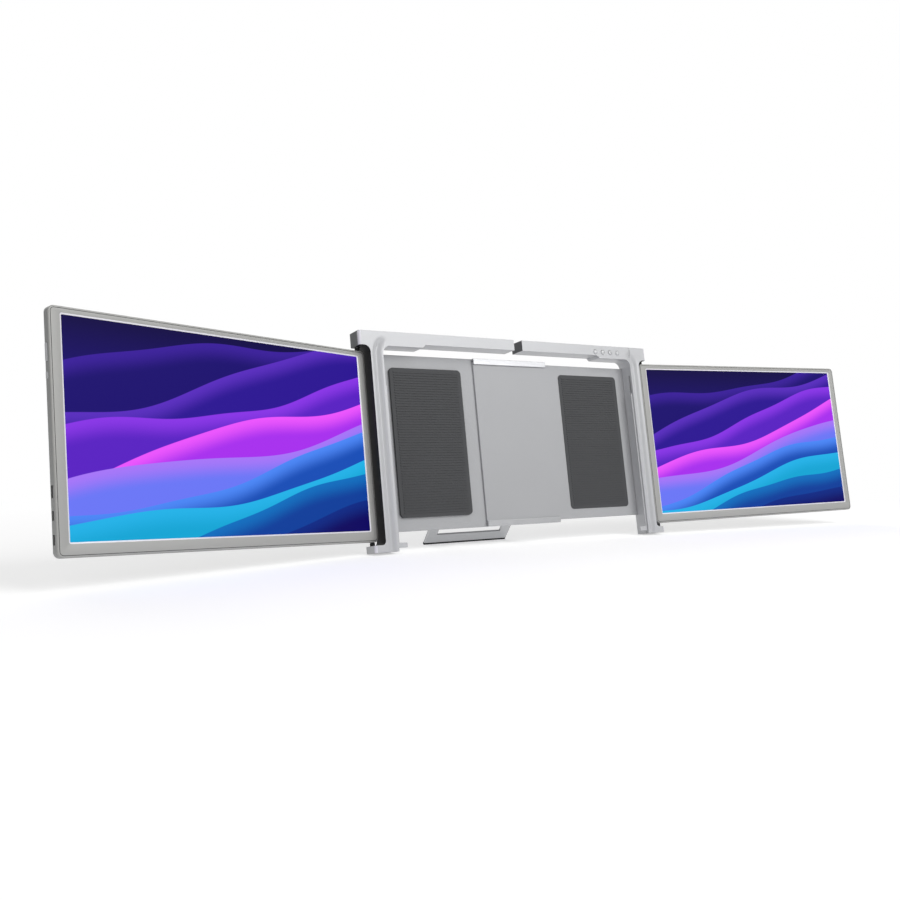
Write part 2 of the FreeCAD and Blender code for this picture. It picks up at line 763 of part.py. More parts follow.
def stand():
    """Leg, its pin and brackets on the back of the left plate, and its soft foot."""
    hinge_y = back_face + d.stand_hinge_back
    hinge_z = -d.stand_hinge_drop
    half = d.stand_width / 2
    middle_x = -55
    pin = d.stand_pin / 2
    ears = []
    for tag, side in (("a", -1), ("b", 1)):
        near_x = middle_x + side * (half + d.part_clear)
        xs = (near_x - 6, near_x) if side < 0 else (near_x, near_x + 6)
        cut = doc.addObject("Part::Cut", "stand_ear_" + tag)
        around = (hinge_z - ear_half, hinge_z + ear_half)
        cut.Base = loose_box("stand_ear_block_" + tag, xs, (back_face, hinge_y + ear_wall), around)
        cut.Tool = loose_cylinder("stand_ear_bore_" + tag, pin, (xs[0], hinge_y, hinge_z), 6, ALONG_X)
        ears.append(cut)
    group("stand_brackets", ears, STANDING)
    rod = loose_cylinder(
        "stand_rod", pin, (middle_x - half - 6, hinge_y, hinge_z), d.stand_width + 12, ALONG_X
    )
    group("stand_pin", [rod], STANDING)

    lean_back = d.stand_angle.value + d.recline.value
    turn = FreeCAD.Rotation(FreeCAD.Vector(1, 0, 0), lean_back)
    at = FreeCAD.Vector(0, hinge_y.value, hinge_z.value)
    place = STANDING.multiply(FreeCAD.Placement(at, turn))
    height = place.Base.z
    angle = math.radians(d.stand_angle.value)
    # the foot's back lower edge is the lowest point of the leg
    reach = (height - d.stand_wall.value / 2 * math.sin(angle)) / math.cos(angle)
    leg = Piece("stand_leg")
    wall = d.stand_wall / 2
    foot_low = size(-reach)
    leg_low = foot_low + d.stand_foot
    leg.box((middle_x - half, middle_x + half), (-wall, wall), (leg_low, 0))
    leg.cylinder(pin + 1.8, (middle_x - half, 0, 0), d.stand_width, "x")
    leg.cylinder(pin + d.hinge_clear, (middle_x - half - 1, 0, 0), d.stand_width + 2, "x", cut=True)
    window = (leg_low + 12, -14)
    leg.box((middle_x - half + 14, middle_x + half - 14), (-wall - 1, wall + 1), window, cut=True)
    leg.place(place)
    foot = Piece("stand_foot")
    foot.box((middle_x - half, middle_x + half), (-wall, wall), (foot_low, leg_low))
    foot.place(place)


for hand, word in ((-1, "left"), (1, "right")):
    frame_half(hand, word)
    end_caps(hand, word)
    hinge_parts(hand, word)
    clip(hand, word)
    monitor(hand, word)
rear_plates()
buttons()
stand()

doc.recompute()
# The origin goes to the middle of the part's footprint, on the surface that it stands on
whole = FreeCAD.BoundBox()
for item in PIECES:
    whole.add(item.Shape.BoundBox)
shift = FreeCAD.Vector(-whole.Center.x, -whole.Center.y, -whole.ZMin)
for item in PIECES:
    item.Placement = FreeCAD.Placement(shift, FreeCAD.Rotation()).multiply(item.Placement)

doc.recompute()
for item in doc.Objects:
    bad = [state for state in item.State if state in ("Invalid", "Error")]
    if bad:
        raise RuntimeError("%s failed: %s" % (item.Label, bad))
os.makedirs("parts", exist_ok=True)
for item in PIECES:
    shape = item.Shape
    if shape.isNull() or not shape.isValid():
        raise RuntimeError(item.Label + " has no valid shape")
for item in PIECES:
    item.Shape.exportStep("parts/%s.step" % item.Label)
print(len(PIECES), "nodes")
print("origin", *[round(v, 4) for v in (shift.x, shift.y, shift.z + lift)])
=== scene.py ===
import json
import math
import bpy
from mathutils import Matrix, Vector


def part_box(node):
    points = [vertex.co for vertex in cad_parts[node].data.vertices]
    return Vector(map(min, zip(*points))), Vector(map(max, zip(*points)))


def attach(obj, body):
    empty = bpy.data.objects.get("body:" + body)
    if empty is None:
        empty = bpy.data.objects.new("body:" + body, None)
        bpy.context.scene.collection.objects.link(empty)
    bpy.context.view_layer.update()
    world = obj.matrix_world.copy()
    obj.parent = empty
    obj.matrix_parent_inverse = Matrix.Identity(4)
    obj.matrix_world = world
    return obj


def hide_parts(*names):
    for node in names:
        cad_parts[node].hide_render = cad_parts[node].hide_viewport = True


bl_info = {
    "name": "Screen extender",
    "version": (1, 0, 0),
    "blender": (4, 5, 0),
    "location": "View3D > Sidebar > Extender",
    "description": "Dresses the packed frame of a screen extender with two side monitors",
    "category": "Object",
}

import bmesh
import bpy
from bpy.props import FloatProperty, FloatVectorProperty, IntProperty, PointerProperty
from mathutils import Matrix, Vector

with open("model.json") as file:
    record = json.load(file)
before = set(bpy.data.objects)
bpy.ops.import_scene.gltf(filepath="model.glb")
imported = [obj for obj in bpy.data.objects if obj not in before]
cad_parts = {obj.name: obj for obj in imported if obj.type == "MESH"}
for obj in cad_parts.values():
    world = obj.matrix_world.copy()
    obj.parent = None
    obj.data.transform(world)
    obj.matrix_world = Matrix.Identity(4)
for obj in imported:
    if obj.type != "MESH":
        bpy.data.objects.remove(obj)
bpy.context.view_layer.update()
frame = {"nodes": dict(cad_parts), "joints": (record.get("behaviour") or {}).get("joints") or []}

MM = 0.001
SIDES = (("left", -1), ("right", 1))

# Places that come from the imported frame. Shapes below are written in millimetres, in the
# plane of the reclined frame (x right, y back, z up) or of a monitor (x from its hinge).
JOINTS = {joint["name"]: joint for joint in frame["joints"]}
RECLINE = math.radians(9)
FRAME_TURN = Matrix.Rotation(-RECLINE, 4, "X")
SWING = {"left": math.radians(15.9), "right": math.radians(-5.5)}
HINGE_X = 211.5
HINGE_BACK_LEFT = 16.4
SCALE = Matrix.Scale(MM, 4)


def joint_place(name):
    """Where a joint's axis passes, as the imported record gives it."""
    return Vector(JOINTS[name]["pos_m"])


LEFT_HINGE = Vector((-HINGE_X, HINGE_BACK_LEFT, 0)) * MM
FRAME_ORIGIN = joint_place("left_monitor_swing") - FRAME_TURN @ LEFT_HINGE
IN_FRAME = Matrix.Translation(FRAME_ORIGIN) @ FRAME_TURN @ SCALE
IN_MONITOR = {
    word: Matrix.Translation(joint_place(word + "_monitor_swing"))
    @ FRAME_TURN
    @ Matrix.Rotation(SWING[word], 4, "Z")
    @ SCALE
    for word in SWING
}

# Sizes of the frame that the finer meshes repeat, millimetres
HALF_LID = 187.5
BAR_LOW = 107
CORNER_ROUND = 9
SLOT_WALL = 203.38
FOOT_TOP = -115.5
SEAM_X = 188.5
SEAM_GAP = 0.45
SEAM_SUNK = 0.5
GAP_REACH = 20
# Outer lips past LIP_START and in front of LIP_DEEP get a painted highlight in the near-white bright finish
LIP_START = 213.5
LIP_DEEP = 3.2
PAINT_LAP = 0.3

# The soft valley down each upright: its width, how deep into the wall it pulls the faces, and
# the angles round the lid's corner between which it fades out
VALLEY_SPREAD = 3.4
VALLEY_WALL = 2.4
VALLEY_FADE = (80, 25)

# Sizes of a monitor that the finer meshes repeat, millimetres
VIEW = (6.15, 350.35, -98.6, 95.0)
OUTLINE = (-5.35, 361.85, -111.3, 102.3)
FACE = -5.0
BORDER_BACK = -3.5
GLASS_FACE = -4.6
COVER_BACK = 4.5
OUTER_ROUND = 5.5
RIM = 1.7
BACK_ROUND = 2.1
SEAM_DEEP = 0.7
VIEW_ROUND = 0.6
CORNER_STEPS = 8
TOUCH = 0.01

# The four buttons, millimetres: radius and depth of the dome, its dished edge and its stem
BUTTON_COUNT = 4
BUTTON_Z = 114.9
BUTTON_SIDES = 40
DOME = ((1.1, -0.97), (1.9, -0.8), (2.4, -0.45), (2.62, 0.1), (2.65, 1.5), (3.1, 1.6), (3.1, 7.0))
MARKED_BUTTON = 3
DOT = 0.4
DOT_DEEP = 0.3
DOT_SIDES = 20

# Cover screws: shares of a head's height and radius, and the inset from the monitor's edges
SCREW_RIM = 0.25
SCREW_RECESS = 0.7
SCREW_HEXAGON = 0.42
SCREW_INSET = 14

# Lid pads, millimetres
PAD_ROUND = 5
PAD_MARGIN = 5
RIB_HEIGHT = 0.5
RIB_WIDTH = 1.3
RIB_PITCH = 3.0

# Rounding of the smaller pieces' edges, metres
FINE_EDGE = 0.0004
KEY_EDGE = 0.0005


def linear(hex_colour):
    """An sRGB hex colour as linear red, green and blue."""
    parts = [int(hex_colour[i:i + 2], 16) / 255 for i in (1, 3, 5)]
    return [c / 12.92 if c <= 0.04045 else ((c + 0.055) / 1.055) ** 2.4 for c in parts]


def rgba(hex_colour):
    """The same colour with full alpha."""
    return (*linear(hex_colour), 1.0)


class ExtenderSizes(bpy.types.PropertyGroup):
    """Sizes that a user may change"""

    edge_bevel: FloatProperty(
        name="Edge bevel",
        description="Rounding of the frame's moulded edges",
        default=0.0007,
        min=0.0001,
        max=0.002,
        unit="LENGTH",
    )
    valley_depth: FloatProperty(
        name="Valley depth",
        description="Depth of the soft valley down the front of each upright",
        default=0.0031,
        min=0,
        max=0.004,
        unit="LENGTH",
    )
    valley_reach: FloatProperty(
        name="Valley place",
        description="Middle of the valley, out from the lid opening",
        default=0.0078,
        unit="LENGTH",
    )
    # The chamfer round each lit area is coloured with a near-white painted highlight
    trim_width: FloatProperty(
        name="Bright trim",
        description="Width of the bright chamfer round each lit area",
        default=0.0014,
        unit="LENGTH",
    )
    # The seam groove is coloured with dark grey painted shade
    seam_width: FloatProperty(
        name="Seam",
        description="Dark gap between the border of a monitor and its back cover",
        default=0.00045,
        unit="LENGTH",
    )
    screw_sides: IntProperty(
        name="Screw facets",
        description="Facets round a screw head",
        default=36,
        min=12,
    )


class ExtenderColours(bpy.types.PropertyGroup):
    """Colours that a user may change"""

    silver: FloatVectorProperty(
        name="Frame silver",
        description="Satin paint of the centre frame",
        subtype="COLOR",
        size=3,
        min=0,
        max=1,
        default=linear("#D0D1D3"),
    )
    border: FloatVectorProperty(
        name="Monitor grey",
        description="Painted border and cover of the monitors",
        subtype="COLOR",
        size=3,
        min=0,
        max=1,
        default=linear("#B4B4B1"),
    )
    # Dark grey that stands in for the shade and dark reflection on the bar's end faces, which turn away from
    # the light
    caps: FloatVectorProperty(
        name="End caps",
        description="Dark plastic of the end caps",
        subtype="COLOR",
        size=3,
        min=0,
        max=1,
        default=linear("#6C6D6F"),
    )


def add(tree, kind, links=None, **settings):
    """One node with its settings, its sockets linked or set."""
    made = tree.nodes.new(kind)
    for name, value in settings.items():
        setattr(made, name, value)
    for socket, source in (links or {}).items():
        target = made.inputs[socket]
        if isinstance(source, bpy.types.NodeSocket):
            tree.links.new(source, target)
        else:
            target.default_value = source
    return made


def new_material(name):
    """An empty node material and its output node."""
    material = bpy.data.materials.new(name)
    material.use_nodes = True
    tree = material.node_tree
    tree.nodes.clear()
    return material, tree, add(tree, "ShaderNodeOutputMaterial")


def ramp(tree, factor, stops, interpolation="LINEAR"):
    """A colour ramp through (position, hex colour) stops."""
    made = add(tree, "ShaderNodeValToRGB", {"Fac": factor})
    band = made.color_ramp
    band.interpolation = interpolation
    while len(band.elements) > 1:
        band.elements.remove(band.elements[-1])
    band.elements[0].position = stops[0][0]
    band.elements[0].color = rgba(stops[0][1])
    for place, colour in stops[1:]:
        band.elements.new(place).color = rgba(colour)
    return made.outputs["Color"]


GLOSS_SPAN = 0.05
COAT_ROUGHNESS = 0.2
RELIEF_DEEP = 0.0001
STREAK_SCALE = (40.0, 2400.0, 2400.0)


def moulded(name, colour, grain_mm, roughness, bump, metallic, mottle, coat):
    """Moulded or painted surface: fine grain in the gloss and the relief, faint uneven tone."""
    material, tree, out = new_material(name)
    place = add(tree, "ShaderNodeTexCoord").outputs["Object"]
    fine = 1 / (grain_mm * MM)
    grain = add(tree, "ShaderNodeTexNoise", {"Vector": place, "Scale": fine, "Detail": 2.0})
    cloud = add(tree, "ShaderNodeTexNoise", {"Vector": place, "Scale": 18.0, "Detail": 3.0})
    tone = add(
        tree,
        "ShaderNodeMapRange",
        {"Value": cloud.outputs["Fac"], "To Min": 1 - mottle, "To Max": 1 + mottle},
    )
    tint = add(
        tree,
        "ShaderNodeVectorMath",
        {0: tuple(colour), "Scale": tone.outputs["Result"]},
        operation="SCALE",
    )
    gloss = add(
        tree,
        "ShaderNodeMapRange",
        {"Value": grain.outputs["Fac"], "To Min": roughness - GLOSS_SPAN, "To Max": roughness + GLOSS_SPAN},
    )
    relief = add(
        tree,
        "ShaderNodeBump",
        {"Height": grain.outputs["Fac"], "Strength": bump, "Distance": RELIEF_DEEP},
    )
    shader = add(
        tree,
        "ShaderNodeBsdfPrincipled",
        {
            "Base Color": tint.outputs["Vector"],
            "Metallic": metallic,
            "Roughness": gloss.outputs["Result"],
            "Normal": relief.outputs["Normal"],
            "Coat Weight": coat,
            "Coat Roughness": COAT_ROUGHNESS,
        },
    )
    add_surface(tree, shader, out)
    return material


def add_surface(tree, shader, out):
    """Links a shader to the material's surface."""
    tree.links.new(shader.outputs[0], out.inputs["Surface"])


def brushed(name, colour, roughness):
    """Brushed metal: long streaks from side to side."""
    material, tree, out = new_material(name)
    place = add(tree, "ShaderNodeTexCoord").outputs["Object"]
    stretch = add(tree, "ShaderNodeMapping", {"Vector": place, "Scale": STREAK_SCALE}).outputs["Vector"]
    lines = add(tree, "ShaderNodeTexNoise", {"Vector": stretch, "Scale": 1.0, "Detail": 3.0})
    gloss = add(
        tree,
        "ShaderNodeMapRange",
        {"Value": lines.outputs["Fac"], "To Min": roughness - 0.08, "To Max": roughness + 0.1},
    )
    relief = add(
        tree,
        "ShaderNodeBump",
        {"Height": lines.outputs["Fac"], "Strength": 0.12, "Distance": RELIEF_DEEP},
    )
    shader = add(
        tree,
        "ShaderNodeBsdfPrincipled",
        {
            "Base Color": rgba(colour),
            "Metallic": 1.0,
            "Roughness": gloss.outputs["Result"],
            "Normal": relief.outputs["Normal"],
        },
    )
    add_surface(tree, shader, out)
    return material


# Flowing bands of the picture on a lit panel, from the back to the front: base height,
# slope, height and length of the long swell, height and length of the short one, start,
# colour at the crest and colour below it. Heights are shares of the panel's height.
BANDS = (
    (0.93, 0.34, 0.060, 0.7, 0.010, 2.3, 0.10, "#3B1C9C", "#190770"),
    (0.80, 0.46, 0.050, 0.9, 0.012, 2.1, 0.62, "#5A2CC0", "#2B1094"),
    (0.66, 0.40, 0.055, 0.8, 0.008, 2.7, 0.35, "#8A35E8", "#5A1FC4"),
    (0.52, 0.48, 0.045, 1.0, 0.007, 2.3, 0.80, "#EE55FF", "#A92FF0"),
    (0.41, 0.36, 0.050, 0.9, 0.006, 2.0, 0.15, "#A877FA", "#6C78F8"),
    (0.30, 0.42, 0.050, 0.8, 0.007, 2.6, 0.55, "#4C88F8", "#164FB8"),
    (0.20, 0.34, 0.045, 0.9, 0.006, 2.4, 0.25, "#22B4EA", "#0FA6D6"),
    (0.09, 0.40, 0.045, 0.8, 0.006, 2.9, 0.70, "#0C6FC0", "#0A3F9C"),
    (-0.04, 0.34, 0.040, 0.9, 0.006, 2.4, 0.40, "#0A2A86", "#080060"),
)
PANEL_SKY = ((0.0, "#3A12A0"), (0.5, "#1A0970"), (1.0, "#0B0044"))
SKY_START = 0.45
BAND_EDGE = 0.0015
BAND_FADE = 0.11
PANEL_SHIFT = {"left": 0.0, "right": 0.37}


def lit_panel(word, side):
    """Lit display: a generic picture of flowing bands, with a faint glossy face over it."""
    material, tree, out = new_material("lit display " + word)
    x0, x1, z0, z1 = VIEW
    back_to_local = (IN_MONITOR[word] @ Matrix.Scale(1 / MM, 4)).inverted()
    place = add(tree, "ShaderNodeTexCoord").outputs["Object"]
    local = add(
        tree,
        "ShaderNodeMapping",
        {
            "Vector": place,
            "Location": tuple(back_to_local.translation),
            "Rotation": tuple(back_to_local.to_euler("XYZ")),
        },
    )
    split = add(tree, "ShaderNodeSeparateXYZ", {"Vector": local.outputs["Vector"]})
    left_edge = (x0 if side > 0 else -x1) * MM
    right_edge = (x1 if side > 0 else -x0) * MM
    across = add(
        tree,
        "ShaderNodeMapRange",
        {"Value": split.outputs["X"], "From Min": left_edge, "From Max": right_edge},
    ).outputs["Result"]
    up = add(
        tree,
        "ShaderNodeMapRange",
        {"Value": split.outputs["Z"], "From Min": z0 * MM, "From Max": z1 * MM},
    ).outputs["Result"]
    above = add(tree, "ShaderNodeMapRange", {"Value": up, "From Min": SKY_START, "From Max": 1.0})
    colour = ramp(tree, above.outputs["Result"], PANEL_SKY)
    for base, slope, swell, swell_turns, ripple, ripple_turns, start, crest, body in BANDS:
        height = add(
            tree, "ShaderNodeMath", {0: across, 1: slope, 2: base - slope / 2}, operation="MULTIPLY_ADD"
        ).outputs[0]
        phase = start + PANEL_SHIFT[word]
        for size, turns in ((swell, swell_turns), (ripple, ripple_turns)):
            angle = add(
                tree,
                "ShaderNodeMath",
                {0: across, 1: turns * math.tau, 2: phase * turns * math.tau},
                operation="MULTIPLY_ADD",
            )
            wave = add(tree, "ShaderNodeMath", {0: angle.outputs[0]}, operation="SINE")
            height = add(
                tree, "ShaderNodeMath", {0: wave.outputs[0], 1: size, 2: height}, operation="MULTIPLY_ADD"
            ).outputs[0]
        under = add(tree, "ShaderNodeMath", {0: height, 1: up}, operation="SUBTRACT").outputs[0]
        inside = add(
            tree, "ShaderNodeMapRange", {"Value": under, "From Min": -BAND_EDGE, "From Max": BAND_EDGE}
        ).outputs["Result"]
        depth = add(tree, "ShaderNodeMapRange", {"Value": under, "From Min": 0.0, "From Max": BAND_FADE})
        body_colour = ramp(tree, depth.outputs["Result"], ((0.0, crest), (1.0, body)), "EASE")
        colour = add(
            tree,
            "ShaderNodeMix",
            {"Factor": inside, "A": colour, "B": body_colour},
            data_type="RGBA",
        ).outputs["Result"]
    shader = add(
        tree,
        "ShaderNodeBsdfPrincipled",
        {
            "Base Color": rgba("#050507"),
            "Roughness": 0.45,
            "Specular IOR Level": 0.06,
            "Emission Color": colour,
            "Emission Strength": 0.98,
        },
    )
    add_surface(tree, shader, out)
    return material


MATERIALS = {}


def make_materials(colours):
    """Every finish of the object, by a short name."""
    silver, border, caps = tuple(colours.silver), tuple(colours.border), tuple(colours.caps)
    # Name of the finish, what it is, its colour, grain in millimetres, roughness, relief,
    # metallic share, unevenness of tone and clear coat
    finishes = (
        # satin silver paint on moulded plastic: soft broad highlight, no sparkle
        ("silver", "satin silver paint on moulded ABS", silver, 0.35, 0.34, 0.04, 0.12, 0.012, 0.0),
        # the same paint in shade grey on the monitors
        ("border", "grey satin paint on moulded ABS", border, 0.35, 0.42, 0.05, 0.08, 0.015, 0.0),
        # the border grey made darker for the side band: painted shade on faces turned away from the light
        ("side", "grey satin paint on the side band", linear("#A3A4A3"), 0.35, 0.42, 0.05, 0.08, 0.02, 0.0),
        # near-white painted highlight for rounded and chamfered edges: a thin bright line where light would
        # catch
        ("bright", "diamond-cut polished chamfer", linear("#FAF8FF"), 0.2, 0.2, 0.02, 0.0, 0.01, 0.5),
        # end-cap grey: painted shade, darker than the silver where the ends face away from the light
        ("caps", "satin grey moulded end cap", caps, 0.4, 0.4, 0.06, 0.0, 0.04, 0.0),
        ("black", "black moulded ABS", linear("#060607"), 0.4, 0.6, 0.06, 0.0, 0.04, 0.0),
        # dark grey: painted shade in the seam grooves, and the own colour of the button's dot
        ("seam", "shadow gap, black primer", linear("#4A4A4A"), 0.3, 0.7, 0.02, 0.0, 0.04, 0.0),
        ("button", "soft satin button caps", linear("#E4E5E6"), 0.3, 0.3, 0.03, 0.05, 0.01, 0.0),
        ("plate", "spark-grained silver ABS sheet", linear("#B9BABC"), 0.6, 0.5, 0.25, 0.1, 0.03, 0.0),
        ("rubber", "matt black silicone rubber", linear("#1B1B1D"), 0.5, 0.75, 0.2, 0.0, 0.04, 0.0),
        ("pad", "ribbed grey silicone rubber", linear("#4A4B4D"), 0.5, 0.7, 0.15, 0.0, 0.04, 0.0),
        ("board", "green solder mask", linear("#12472C"), 0.8, 0.35, 0.1, 0.0, 0.04, 0.0),
        ("guide", "white reflector film", linear("#E8E8E6"), 0.4, 0.5, 0.02, 0.0, 0.04, 0.0),
    )
    for key, *settings in finishes:
        MATERIALS[key] = moulded(*settings)
    MATERIALS["steel"] = brushed("ground stainless steel", "#B8B9BA", 0.3)
    MATERIALS["stand"] = brushed("brushed anodised aluminium", "#C3C4C6", 0.36)
    for word, side in SIDES:
        MATERIALS["panel_" + word] = lit_panel(word, side)


def finish_piece(piece, body, nodes=()):
    """Hands a finished piece to its body and the nodes that it stands for."""
    if nodes:
        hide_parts(*nodes)
    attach(piece, body)
    return piece


def object_from(name, shape, finishes):
    """A new object at the origin with the shape's mesh and its finishes."""
    mesh = bpy.data.meshes.new(name)
    shape.to_mesh(mesh)
    shape.free()
    for finish in finishes:
        mesh.materials.append(MATERIALS[finish])
    piece = bpy.data.objects.new(name, mesh)
    bpy.context.scene.collection.objects.link(piece)
    return piece


def smooth(piece, angle=35):
    """Smooth faces with sharp edges where the surface really turns."""
    mesh = piece.data
    mesh.polygons.foreach_set("use_smooth", [True] * len(mesh.polygons))
    mesh.set_sharp_from_angle(angle=math.radians(angle))


def cad_shape(node, into_local):
    """A merged copy of a node's mesh in millimetres of the given plane, flat faces joined up."""
    shape = bmesh.new()
    shape.from_mesh(frame["nodes"][node].data)
    bmesh.ops.remove_doubles(shape, verts=shape.verts, dist=1e-6)
    shape.transform(into_local)
    bmesh.ops.dissolve_limit(
        shape, angle_limit=math.radians(0.6), verts=shape.verts, edges=shape.edges
    )
    return shape


def bevel_modifier(piece, width, segments, angle=35):
    """Rounds the piece's sharper edges."""
    bevel = piece.modifiers.new("edges", "BEVEL")
    bevel.width = width
    bevel.segments = segments
    bevel.limit_method = "ANGLE"
    bevel.angle_limit = math.radians(angle)
    bevel.harden_normals = True
    return bevel


def baked(piece):
    """Turns the piece's modifiers into its own plain mesh."""
    graph = bpy.context.evaluated_depsgraph_get()
    mesh = bpy.data.meshes.new_from_object(piece.evaluated_get(graph), depsgraph=graph)
    mesh.name = piece.name
    old = piece.data
    piece.modifiers.clear()
    piece.data = mesh
    bpy.data.meshes.remove(old)
    return piece


def even_normals(piece):
    """Keeps the large flat faces flat beside their rounded edges."""
    weighted = piece.modifiers.new("normals", "WEIGHTED_NORMAL")
    weighted.keep_sharp = True


def slice_shape(shape, axis, places):
    """Cuts the shape's faces along planes square to one axis."""
    normal = [0, 0, 0]
    normal[axis] = 1
    for place in places:
        point = [0, 0, 0]
        point[axis] = place
        geometry = list(shape.verts) + list(shape.edges) + list(shape.faces)
        bmesh.ops.bisect_plane(shape, geom=geometry, dist=1e-5, plane_co=point, plane_no=normal)


def steps(start, stop, step):
    """Evenly spaced places from start to stop, about one step apart."""
    count = max(1, round((stop - start) / step))
    return [start + (stop - start) * i / count for i in range(count + 1)]


def ease(share):
    """A smooth step from 0 to 1."""
    share = min(1.0, max(0.0, share))
    return share * share * (3 - 2 * share)


def valley(x, z, middle, depth):
    """How far the front face sinks at a place: a soft valley beside the lid opening."""
    x = abs(x)
    centre_x, centre_z = HALF_LID - CORNER_ROUND, BAR_LOW - CORNER_ROUND
    if z <= centre_z:
        away, fade = x - HALF_LID, 1.0
    else:
        run, rise = x - centre_x, z - centre_z
        away = math.hypot(run, rise) - CORNER_ROUND
        turned = math.degrees(math.atan2(rise, max(run, 1e-6)))
        fade = ease((VALLEY_FADE[0] - turned) / (VALLEY_FADE[0] - VALLEY_FADE[1]))
    return depth * fade * math.exp(-(((away - middle) / VALLEY_SPREAD) ** 2))


FRAME_FINISHES = ("silver", "black", "caps", "seam", "bright")


class EXTENDER_OT_frame(bpy.types.Operator):
    """Makes the two halves of the frame with their soft valley, rounded edges and black slot"""

    bl_idname = "extender.frame"
    bl_label = "Frame halves"

    def execute(self, context):
        sizes = context.scene.extender_sizes
        for word, side in SIDES:
            node = word + "_frame"
            rounded = object_from(node + "_rounding", cad_shape(node, Matrix()), ("silver",))
            bevel_modifier(rounded, sizes.edge_bevel, 3, 38).harden_normals = False
            baked(rounded)
            shape = bmesh.new()
            shape.from_mesh(rounded.data)
            bpy.data.objects.remove(rounded)
            shape.transform(IN_FRAME.inverted())
            self.sink_valley(shape, side, sizes)
            if side > 0:
                self.cut_seam(shape)
            self.colour_faces(shape)
            shape.transform(IN_FRAME)
            piece = object_from(word + "_frame_shell", shape, FRAME_FINISHES)
            smooth(piece)
            even_normals(piece)
            baked(piece)
            finish_piece(piece, word + "_half", (node,))
        return {"FINISHED"}

    def sink_valley(self, shape, side, sizes):
        """Slices the upright finely and presses the valley into its front."""
        across = steps(HALF_LID + 1.2, SLOT_WALL + 6, 0.8) + steps(HALF_LID - 7, HALF_LID - 1.2, 1.0)
        slice_shape(shape, 0, [side * place for place in across])
        slice_shape(shape, 2, steps(BAR_LOW - 12, BAR_LOW + 14, 1.0) + [-60, 0, 50])
        middle, depth = sizes.valley_reach / MM, sizes.valley_depth / MM
        for vert in shape.verts:
            if vert.co.y < VALLEY_WALL:
                share = 1 - vert.co.y / VALLEY_WALL
                vert.co.y += share * valley(vert.co.x, vert.co.z, middle, depth)

    def cut_seam(self, shape):
        """The joint across the right bar, where its end block begins: a sunk groove coloured with painted
        shade.
        """
        slice_shape(shape, 0, [SEAM_X, SEAM_X + SEAM_GAP])
        shape.normal_update()
        strip = [
            face
            for face in shape.faces
            if SEAM_X < face.calc_center_median().x < SEAM_X + SEAM_GAP
            and face.calc_center_median().z > BAR_LOW
            and face.normal.y < -0.9
        ]
        for face in strip:
            face.material_index = FRAME_FINISHES.index("seam")
        pushed = bmesh.ops.extrude_face_region(shape, geom=strip)["geom"]
        moved = [part for part in pushed if isinstance(part, bmesh.types.BMVert)]
        bmesh.ops.translate(shape, verts=moved, vec=(0, SEAM_SUNK, 0))
        bmesh.ops.delete(shape, geom=strip, context="FACES")

    def colour_faces(self, shape):
        """Black inside the hinge slot, end-cap grey as painted shade on the bar's end in the middle gap,
        near-white painted highlight on the outer lips.
        """
        shape.normal_update()
        for face in shape.faces:
            middle = face.calc_center_median()
            between = FOOT_TOP - PAINT_LAP < middle.z < BAR_LOW + PAINT_LAP
            if abs(middle.x) > SLOT_WALL - PAINT_LAP and between and face.normal.y > -0.6:
                face.material_index = FRAME_FINISHES.index("black")
            # Painted shade: the bar's ends that face each other across the middle gap get the dark end-cap
            # grey
            if abs(middle.x) < GAP_REACH and abs(face.normal.x) > 0.9:
                face.material_index = FRAME_FINISHES.index("caps")
            # Painted highlight: the turned faces of the outer lips get the near-white bright finish
            turned = 0.1 < abs(face.normal.x) < 0.98 and face.normal.y < -0.1
            if turned and abs(middle.x) > LIP_START and middle.y < LIP_DEEP:
                face.material_index = FRAME_FINISHES.index("bright")


class EXTENDER_OT_caps(bpy.types.Operator):
    """Makes the end caps of the bar and of the feet with broken edges"""

    bl_idname = "extender.caps"
    bl_label = "End caps"

    def execute(self, context):
        parts = (("end_cap", "caps", "dark_cap"), ("foot_cap", "silver", "silver_frame"))
        for word, _ in SIDES:
            for part, finish, slot in parts:
                node = word + "_" + part
                piece = object_from(node + "_cover", cad_shape(node, Matrix()), (finish,))
                bevel_modifier(piece, FINE_EDGE, 2)
                smooth(piece)
                finish_piece(piece, word + "_half", (node,))
        return {"FINISHED"}


def rounded_loop(left, right, low, high, radius):
    """Points (x, z) round a rectangle with rounded corners, anticlockwise seen from the front."""
    points = []
    corners = ((right, high, 0), (left, high, 90), (left, low, 180), (right, low, 270))
    for x, z, start in corners:
        centre_x = x - radius if x == right else x + radius
        centre_z = z - radius if z == high else z + radius
        for i in range(CORNER_STEPS + 1):
            turn = math.radians(start + 90 * i / CORNER_STEPS)
            points.append((centre_x + radius * math.cos(turn), centre_z + radius * math.sin(turn)))
    return points


def bridge(shape, rings, closed=False, finish_of=None):
    """Faces between rings of the same number of points, each ring a list of vertices."""
    pairs = list(zip(rings, rings[1:]))
    if closed:
        pairs.append((rings[-1], rings[0]))
    for number, (first, second) in enumerate(pairs):
        count = len(first)
        for i in range(count):
            j = (i + 1) % count
            face = shape.faces.new((first[i], first[j], second[j], second[i]))
            face.material_index = finish_of[number] if finish_of else 0


def ring_verts(shape, loop, y, side):
    """A ring of vertices at depth y, mirrored for the left side."""
    return [shape.verts.new((side * x, y, z)) for x, z in loop]


def circle_verts(shape, reach, y, sides, x=0.0, z=0.0):
    """A ring of vertices round (x, z), as far out as reach says for each angle."""
    angles = [math.tau * i / sides for i in range(sides)]
    return [shape.verts.new((x + reach(a) * math.cos(a), y, z + reach(a) * math.sin(a))) for a in angles]


def grown(bounds, by):
    """A rectangle made larger on every side."""
    left, right, low, high = bounds
    return left - by, right + by, low - by, high + by


